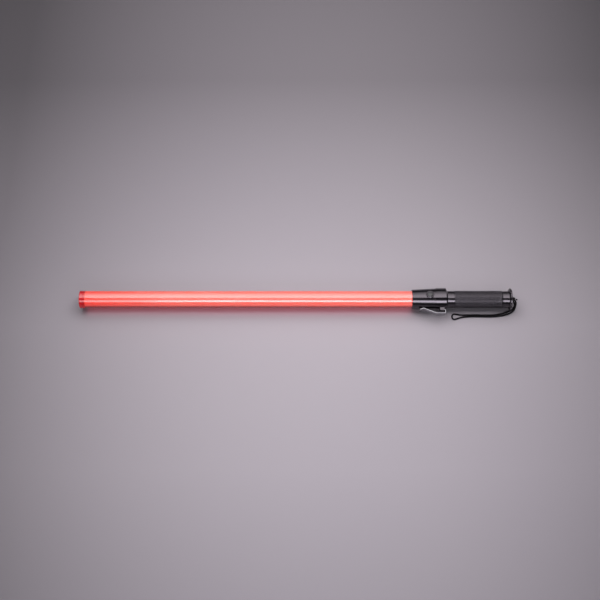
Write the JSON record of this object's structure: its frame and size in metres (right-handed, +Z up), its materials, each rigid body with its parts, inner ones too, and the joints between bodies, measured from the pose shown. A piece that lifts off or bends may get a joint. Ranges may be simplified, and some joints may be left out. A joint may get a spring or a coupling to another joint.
{
  "type": "traffic baton light",
  "caption": "Hand-held traffic baton: long red light tube on a black battery grip with a top push switch, a sprung belt clip, a screw tail cap and a wrist strap.",
  "frame": {"origin": "on the baton's axis, at the middle of the ribbed rubber grip, where a hand holds it", "axes": "+X along the baton from the light tube's tip towards the tail cap, +Z up through the switch button, belt clip on the -Y side"},
  "size_m": [0.9052, 0.0603, 0.0478],
  "materials": {
    "red_tube": "gloss",
    "red_cap": "gloss",
    "diffuser": "satin",
    "seal_rubber": "matte",
    "board": "satin",
    "led_white": "satin",
    "chip_black": "satin",
    "spacer_white": "matte",
    "wire_red": "satin",
    "wire_black": "satin",
    "black_abs": "gloss",
    "black_satin": "satin",
    "button_rubber": "satin",
    "switch_plastic": "satin",
    "spring_steel": "polished",
    "screw_steel": "satin",
    "contact_brass": "polished",
    "cell_jacket": "satin",
    "cell_steel": "polished",
    "grip_rubber": "satin",
    "strap_cord": "matte"
  },
  "bodies": {
    "root": {"light_tube": "red_tube", "tip_cap": "red_cap", "diffuser_sleeve": "diffuser", "tube_seal": "seal_rubber", "tip_cap_seal": "seal_rubber", "barrel_seal": "seal_rubber", "led_board": "board", "led_chips": "led_white", "led_resistors": "chip_black", "board_spacer_1": "spacer_white", "board_spacer_2": "spacer_white", "board_spacer_3": "spacer_white", "board_spacer_4": "spacer_white", "lead_wire_positive": "wire_red", "lead_wire_negative": "wire_black", "cone_housing": "black_abs", "joint_ring": "black_abs", "grip_barrel": "black_abs", "switch_bezel": "black_abs", "switch_body": "switch_plastic", "driver_board": "board", "driver_parts": "chip_black", "board_screws": "screw_steel", "contact_carrier": "black_satin", "front_contact": "contact_brass", "return_strip": "contact_brass", "clip_base": "spring_steel", "grip_sleeve": "grip_rubber", "battery_1": "cell_jacket", "battery_2": "cell_jacket", "battery_1_poles": "cell_steel", "battery_2_poles": "cell_steel"},
    "switch": {"switch_button": "button_rubber", "switch_plunger": "switch_plastic"},
    "clip": {"clip_arm": "spring_steel"},
    "tail_carrier": {"tail_contact": "contact_brass", "tail_spring": "spring_steel", "strap_loop": "strap_cord", "strap_ends": "strap_cord"},
    "tail": {"tail_cap": "black_abs", "tail_seal": "seal_rubber", "strap_anchor": "strap_cord", "strap_knot": "strap_cord"}
  },
  "joints": [
    {"name": "button_press", "type": "slide", "parent": "root", "child": "switch", "axis": [0, 0, -1], "range_m": [0, 0.001], "stiffness_N_per_m": 1000, "springref_m": -0.002},
    {"name": "clip_flex", "type": "hinge", "parent": "root", "child": "clip", "pos_m": [-0.0686, -0.0299, 0], "axis": [0, 0, 1], "range_deg": [0, 8], "stiffness_Nm_per_rad": 3, "springref_deg": -1.15},
    {"name": "tail_travel", "type": "slide", "parent": "root", "child": "tail_carrier", "axis": [1, 0, 0], "range_m": [0, 0.0121]},
    {"name": "tail_turn", "type": "hinge", "parent": "tail_carrier", "child": "tail", "pos_m": [0.069, 0, 0], "axis": [1, 0, 0], "range_deg": [0, 1080]}
  ],
  "couplings": [
    {"joint": "tail_travel", "follows": "tail_turn", "m_per_rad": 0.00063662}
  ]
}
